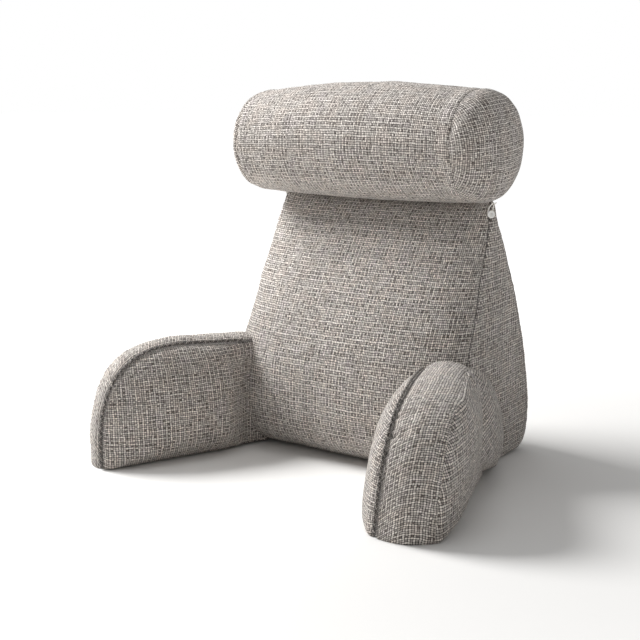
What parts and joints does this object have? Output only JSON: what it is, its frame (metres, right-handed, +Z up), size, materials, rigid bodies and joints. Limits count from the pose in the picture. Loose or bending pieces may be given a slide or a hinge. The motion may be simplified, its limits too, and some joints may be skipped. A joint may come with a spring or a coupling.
{
  "type": "reading pillow with arms and a neck roll",
  "caption": "Stuffed wedge backrest for sitting up in bed, with a padded arm on each side and a round neck roll buttoned along its top edge.",
  "frame": {"origin": "middle of the footprint, on the surface the pillow stands on", "axes": "+Z up, +X across the pillow to the sitter's left, -Y the way the sitter faces"},
  "size_m": [0.6382, 0.5128, 0.5685],
  "materials": {
    "tweed": "matt, loosely woven grey-beige tweed",
    "welt": "matt, tightly folded and stitched tweed edge",
    "button": "polished pearl white",
    "elastic": "matt, braided off-white elastic"
  },
  "bodies": {
    "root": {"backrest": "tweed", "arm_left": "tweed", "arm_right": "tweed", "neck_roll": "tweed", "welt_left": "welt", "welt_right": "welt", "button_left": "button", "button_right": "button", "loop_left": "elastic", "loop_right": "elastic"}
  },
  "joints": []
}
